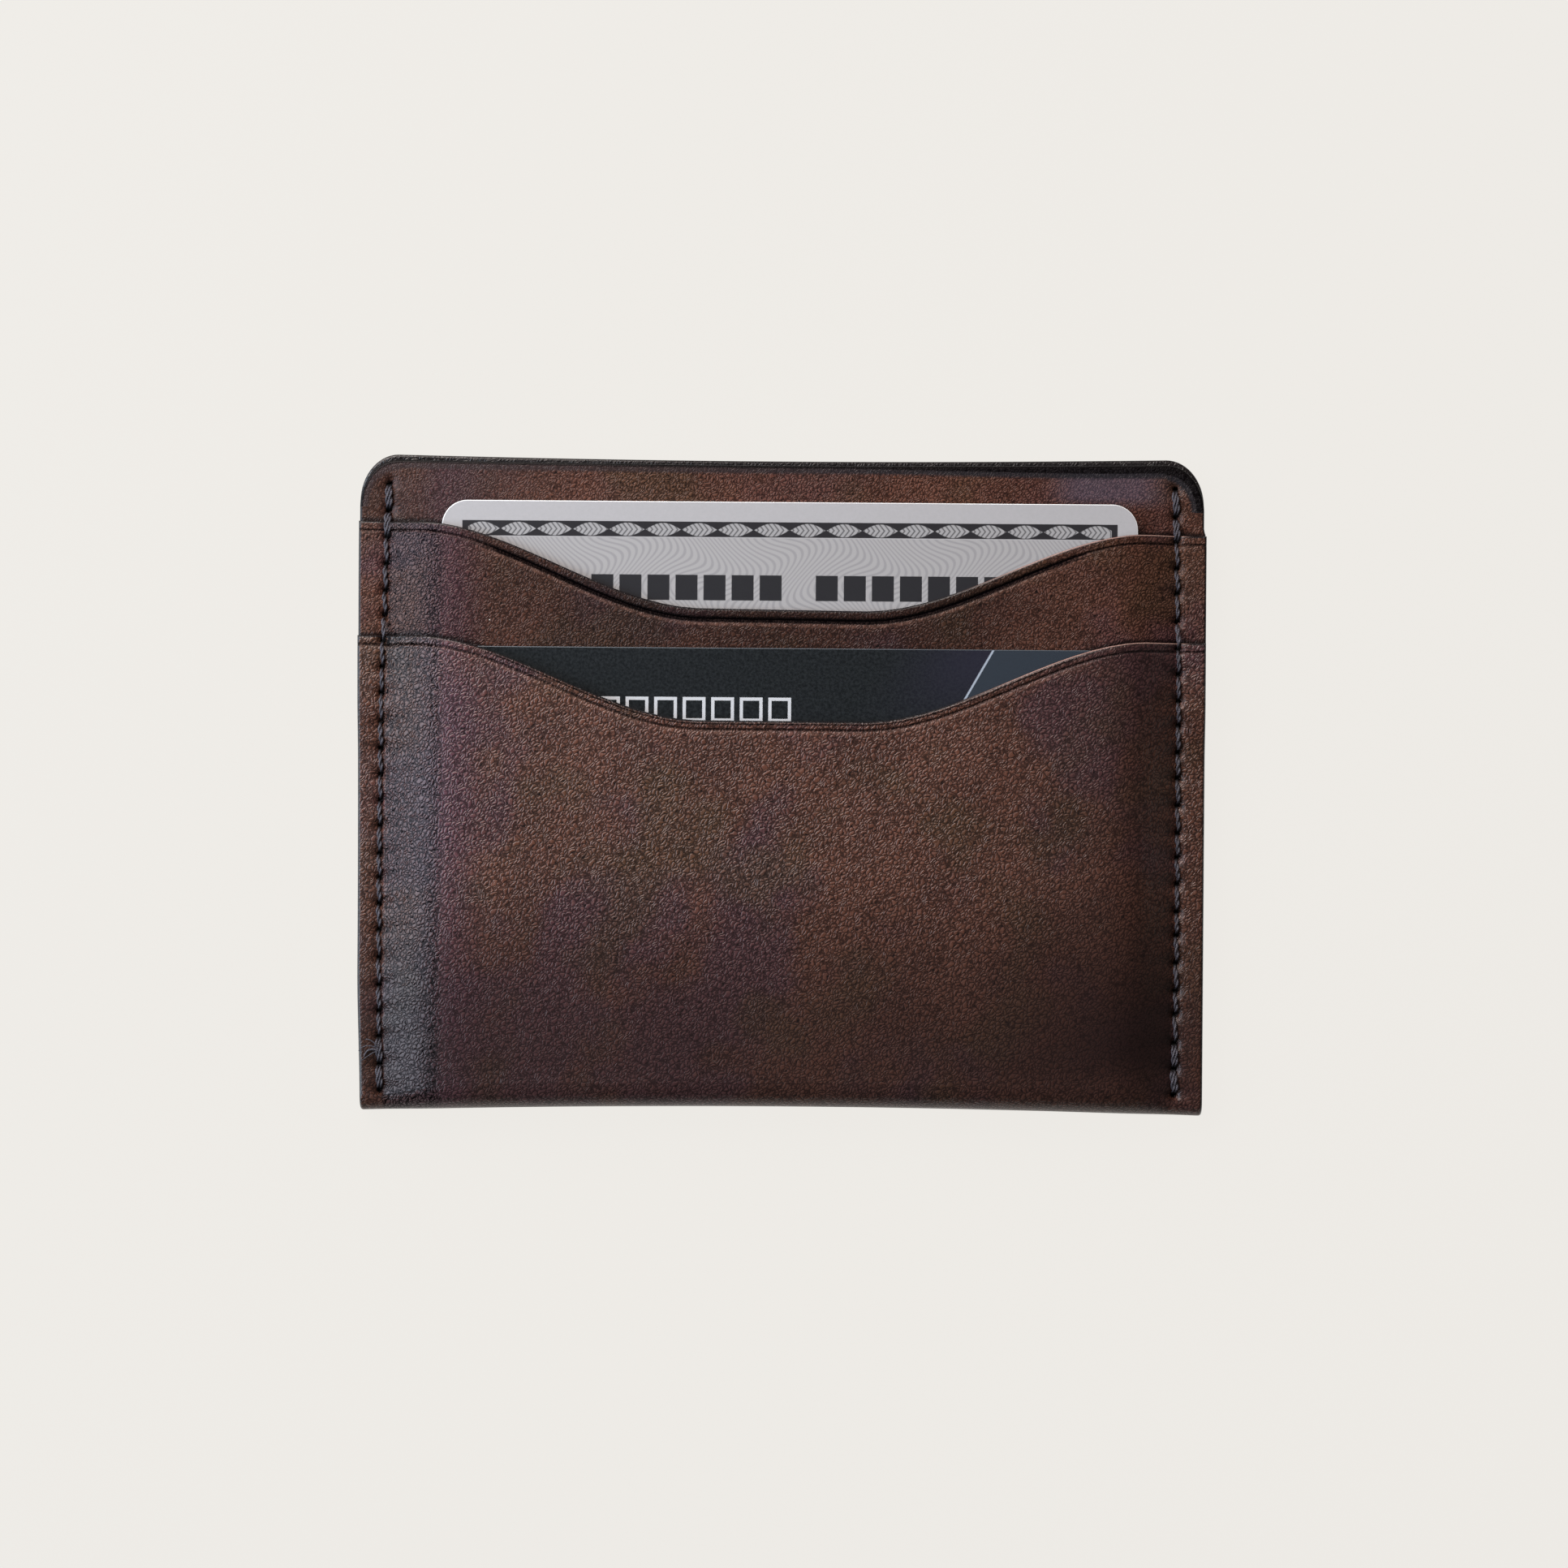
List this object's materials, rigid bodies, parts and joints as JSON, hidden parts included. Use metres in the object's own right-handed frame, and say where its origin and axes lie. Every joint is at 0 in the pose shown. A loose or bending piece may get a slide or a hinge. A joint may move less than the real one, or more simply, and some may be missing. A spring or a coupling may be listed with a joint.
{
  "type": "card wallet",
  "caption": "Slim stitched leather card wallet with stepped front pockets, curved thumb dips, a folded bottom edge and cards that slide out.",
  "frame": {"origin": "centre of the wallet's outline, on the back face that it rests on", "axes": "+X to the wallet's right seen from the front, +Y from the bottom fold towards the pocket mouths, +Z out of the front"},
  "size_m": [0.1042, 0.081, 0.0076],
  "materials": {
    "shell_leather": "dark brown pull-up leather, fine pebble grain",
    "panel_leather": "dark brown pull-up leather, fine pebble grain",
    "thread": "waxed twisted thread, charcoal",
    "silver_card": "satin light grey card",
    "dark_card": "satin blue-black card",
    "contact_plate": "gold-plated contacts",
    "stripe": "black magnetic tape"
  },
  "bodies": {
    "wallet": {"outer_shell": "shell_leather", "divider": "panel_leather", "upper_pocket": "panel_leather", "left_seam": "thread", "right_seam": "thread", "pocket_floor_seam": "thread"},
    "silver_card": {"silver_card": "silver_card", "silver_card_chip": "contact_plate", "silver_card_stripe": "stripe"},
    "dark_card": {"dark_card": "dark_card", "dark_card_chip": "contact_plate", "dark_card_stripe": "stripe"}
  },
  "joints": [
    {"name": "silver_card_slide", "type": "slide", "parent": "wallet", "child": "silver_card", "axis": [0, 0.9997, 0.025], "range_m": [0, 0.062]},
    {"name": "dark_card_slide", "type": "slide", "parent": "wallet", "child": "dark_card", "axis": [0, 0.9997, 0.025], "range_m": [0, 0.08]}
  ]
}
